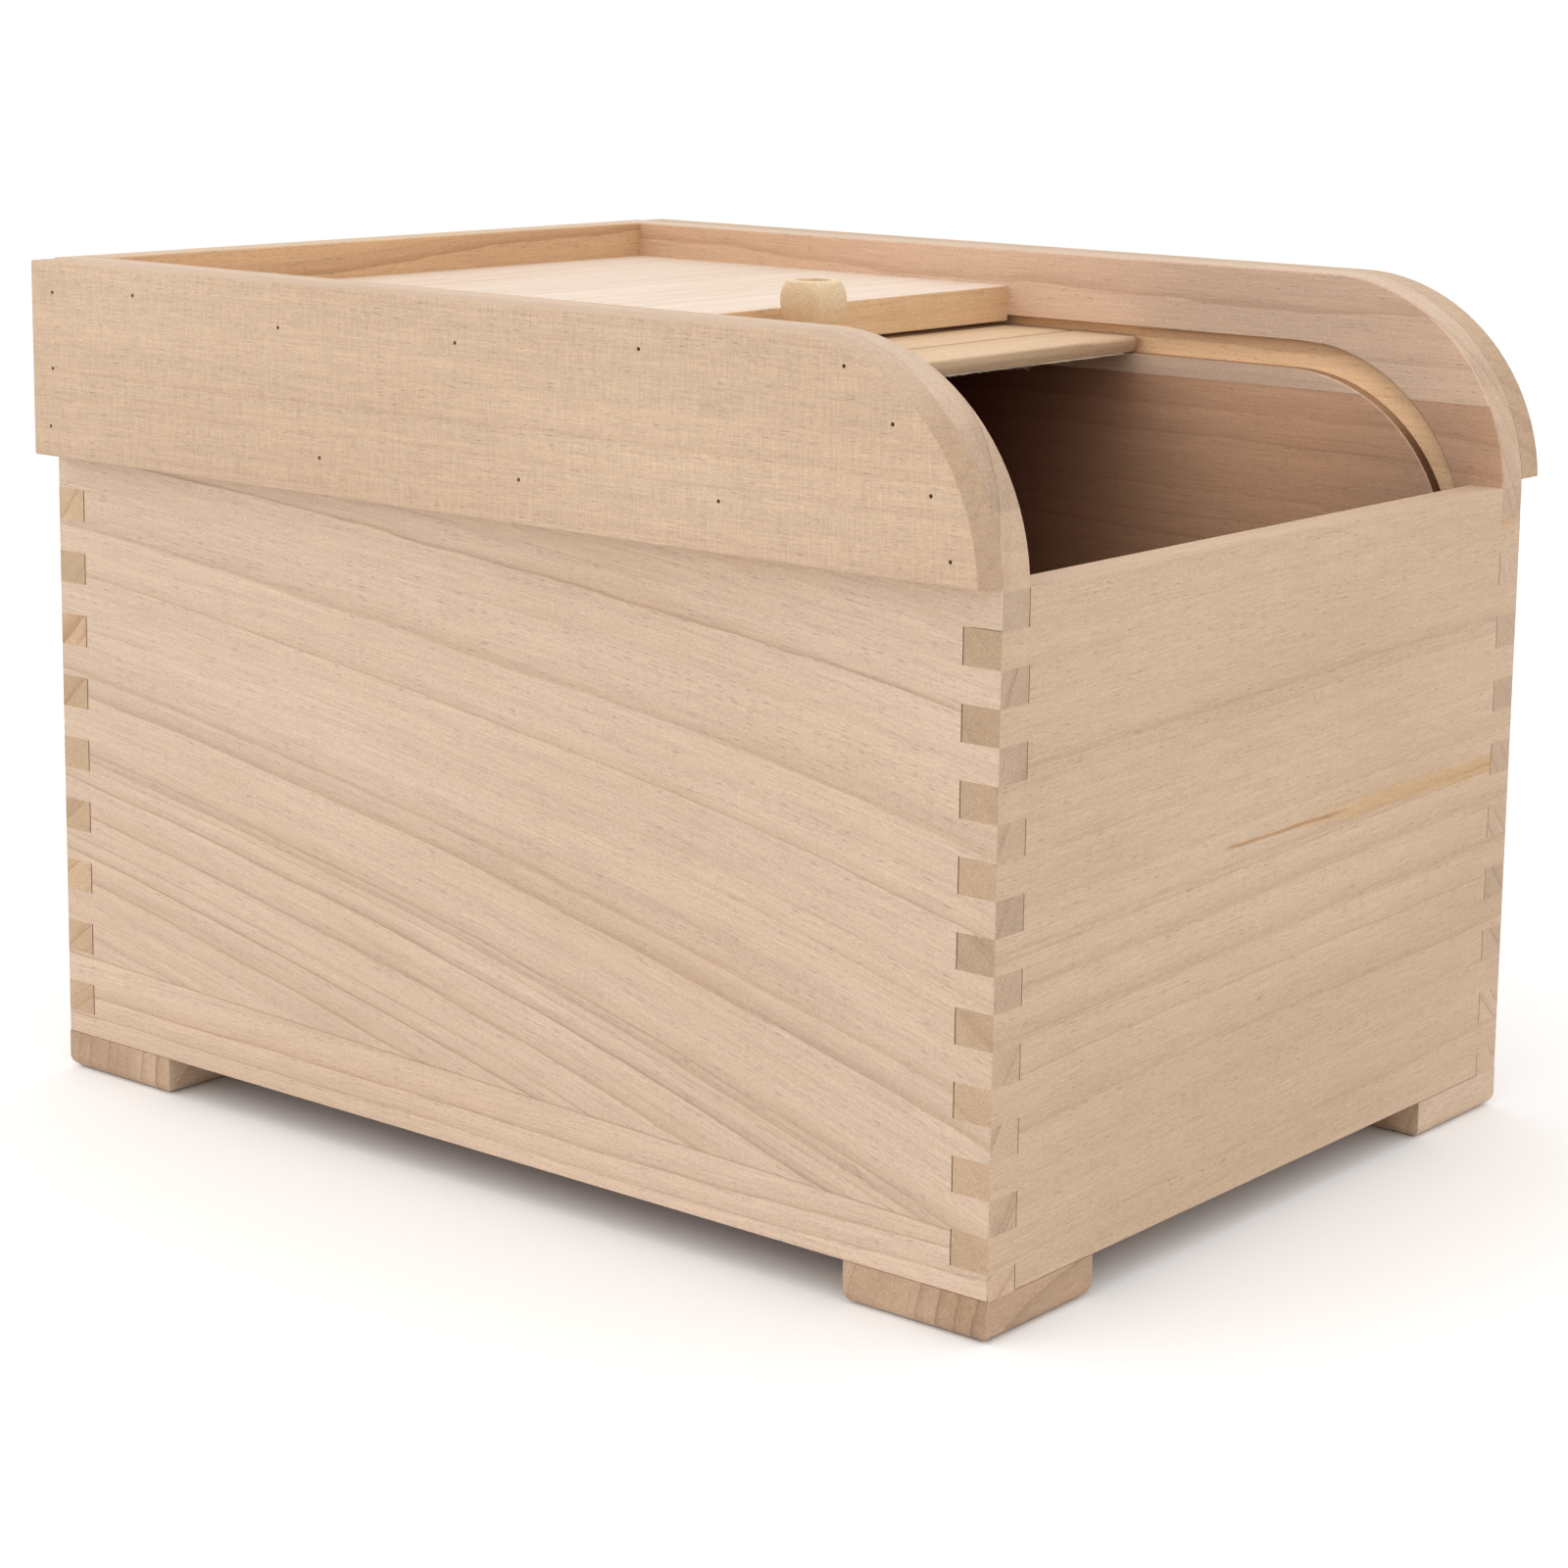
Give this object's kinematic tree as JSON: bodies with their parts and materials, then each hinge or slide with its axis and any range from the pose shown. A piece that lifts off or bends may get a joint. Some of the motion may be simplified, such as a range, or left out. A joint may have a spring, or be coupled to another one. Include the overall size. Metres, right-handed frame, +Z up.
{
  "type": "bread bin",
  "caption": "Roll-front wooden bread bin: a finger-jointed box on low corner feet with a slatted shutter that slides back under a fixed top.",
  "frame": {"origin": "centre of the footprint, on the floor under the feet", "axes": "+Z up, -Y out of the front opening, +X to the right of someone facing the back from the front"},
  "size_m": [0.293, 0.368, 0.2615],
  "materials": {
    "side_boards": "unfinished paulownia, planed and sanded, pale beige with long wavy grain",
    "front_board": "unfinished paulownia, pale olive-beige with level wavy grain",
    "back_board": "unfinished paulownia, pale beige",
    "bottom_board": "unfinished paulownia, pale beige",
    "band_boards": "unfinished paulownia, pale beige with fine level grain",
    "top_board": "unfinished paulownia, pale pinkish cream, edge-glued",
    "foot_blocks": "unfinished paulownia, rounded below",
    "shutter_slats": "unfinished paulownia, light honey",
    "knob_wood": "turned birch, unfinished",
    "shutter_cloth": "thin unbleached cotton glued to the slats",
    "screw_steel": "zinc-plated",
    "brad_steel": "dull, dark heads set below the wood"
  },
  "bodies": {
    "carcass": {"side_panel_left": "side_boards", "side_panel_right": "side_boards", "front_panel": "front_board", "back_panel": "back_board", "bottom_panel": "bottom_board", "side_band_left": "band_boards", "side_band_right": "band_boards", "top_panel": "top_board", "foot_front_left": "foot_blocks", "foot_front_right": "foot_blocks", "foot_back_left": "foot_blocks", "foot_back_right": "foot_blocks", "band_brads_left": "brad_steel", "band_brads_right": "brad_steel", "foot_brads_left": "brad_steel", "foot_brads_right": "brad_steel"},
    "shutter": {"slat_4": "shutter_slats", "slat_5": "shutter_slats", "slat_6": "shutter_slats", "slat_7": "shutter_slats", "slat_8": "shutter_slats", "cloth_rear": "shutter_cloth"},
    "shutter_slat_3": {"slat_3": "shutter_slats", "cloth_3": "shutter_cloth"},
    "shutter_slat_2": {"slat_2": "shutter_slats", "cloth_2": "shutter_cloth", "knob": "knob_wood", "knob_screw": "screw_steel"},
    "shutter_slat_1": {"slat_1": "shutter_slats", "cloth_1": "shutter_cloth"}
  },
  "joints": [
    {"name": "shutter_slide", "type": "slide", "parent": "carcass", "child": "shutter", "axis": [0, -1, 0], "range_m": [0, 0.1428]},
    {"name": "shutter_bend_3", "type": "hinge", "parent": "shutter", "child": "shutter_slat_3", "pos_m": [0, 0.0343, 0.2305], "axis": [1, 0, 0], "range_deg": [0, 14.79]},
    {"name": "shutter_bend_2", "type": "hinge", "parent": "shutter_slat_3", "child": "shutter_slat_2", "pos_m": [0, 0.0073, 0.2305], "axis": [1, 0, 0], "range_deg": [0, 29.59]},
    {"name": "shutter_bend_1", "type": "hinge", "parent": "shutter_slat_2", "child": "shutter_slat_1", "pos_m": [0, -0.0197, 0.2305], "axis": [1, 0, 0], "range_deg": [0, 29.59]}
  ],
  "couplings": [
    {"joint": "shutter_bend_3", "follows": "shutter_slide", "rad_per_m": 1.8071},
    {"joint": "shutter_bend_2", "follows": "shutter_slide", "rad_per_m": 3.6142},
    {"joint": "shutter_bend_1", "follows": "shutter_slide", "rad_per_m": 3.6142}
  ]
}
